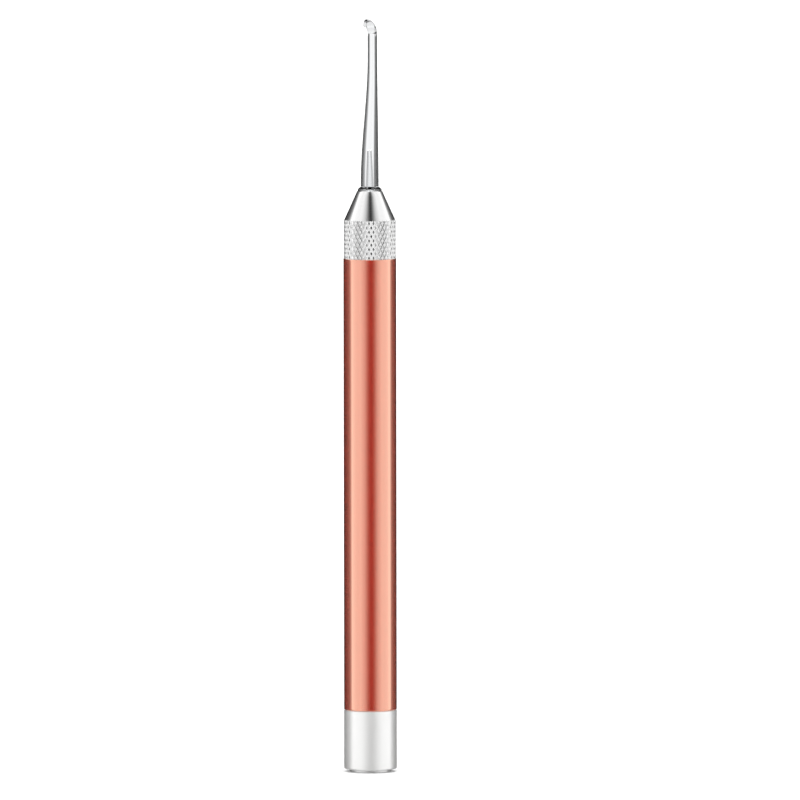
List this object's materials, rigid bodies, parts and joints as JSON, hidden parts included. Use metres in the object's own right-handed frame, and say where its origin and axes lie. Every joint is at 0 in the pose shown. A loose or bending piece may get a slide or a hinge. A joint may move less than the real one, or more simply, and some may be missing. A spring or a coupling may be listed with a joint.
{
  "type": "lighted ear pick",
  "caption": "Slim metal pocket light with a knurled screw head and tail cap, lighting a clear plastic ear spoon that plugs into its nose.",
  "frame": {"origin": "middle of the tail cap's flat foot, at the lowest point of the object standing upright", "axes": "+Z along the barrel from the foot to the spoon; the scoop opens towards -X; -Y faces the viewer of the picture"},
  "size_m": [0.0102, 0.0102, 0.1449],
  "materials": {
    "clear_acrylic": "clear, moulded and polished",
    "bright_aluminium": "bright turned, diamond knurl",
    "rose_anodised_aluminium": "rose-gold anodised, glossy",
    "satin_aluminium": "satin turned",
    "clear_epoxy": "clear cast",
    "tinned_steel": "tinned",
    "board_laminate": "green solder mask",
    "chip_ceramic": "black glaze",
    "spring_steel": "drawn and nickelled wire",
    "sleeve_film": "white film",
    "nickelled_steel": "nickelled and drawn",
    "seal_nylon": "dark moulded ring"
  },
  "bodies": {
    "barrel": {"barrel": "rose_anodised_aluminium", "cell_sleeve": "sleeve_film", "cell_1_can": "nickelled_steel", "cell_1_seal": "seal_nylon", "cell_1_cap": "nickelled_steel", "cell_2_can": "nickelled_steel", "cell_2_seal": "seal_nylon", "cell_2_cap": "nickelled_steel", "cell_3_can": "nickelled_steel", "cell_3_seal": "seal_nylon", "cell_3_cap": "nickelled_steel"},
    "tail_spring": {"tail_spring": "spring_steel"},
    "tail_cap": {"tail_cap": "satin_aluminium"},
    "led_module": {"led_lens": "clear_epoxy", "led_anode_lead": "tinned_steel", "led_cathode_lead": "tinned_steel", "led_board": "board_laminate", "chip_resistor": "chip_ceramic", "contact_spring": "spring_steel"},
    "head": {"knurled_head": "bright_aluminium"},
    "ear_tip": {"ear_spoon_tip": "clear_acrylic"}
  },
  "joints": [
    {"name": "tail_travel", "type": "slide", "parent": "barrel", "child": "tail_spring", "axis": [0, 0, -1], "range_m": [0, 0.00375], "deforming": ["tail_spring"]},
    {"name": "tail_twist", "type": "hinge", "parent": "tail_spring", "child": "tail_cap", "pos_m": [0, 0, 0.012], "axis": [0, 0, -1], "range_deg": [0, 1351]},
    {"name": "head_travel", "type": "slide", "parent": "barrel", "child": "led_module", "axis": [0, 0, 1], "range_m": [0, 0.00375]},
    {"name": "head_twist", "type": "hinge", "parent": "led_module", "child": "head", "pos_m": [0, 0, 0.0989], "axis": [0, 0, 1], "range_deg": [0, 1351]},
    {"name": "tip_pull", "type": "slide", "parent": "head", "child": "ear_tip", "axis": [0, 0, 1], "range_m": [0, 0.0052]}
  ],
  "couplings": [
    {"joint": "tail_twist", "follows": "tail_travel", "rad_per_m": 6283.2},
    {"joint": "head_twist", "follows": "head_travel", "rad_per_m": 6283.2}
  ]
}
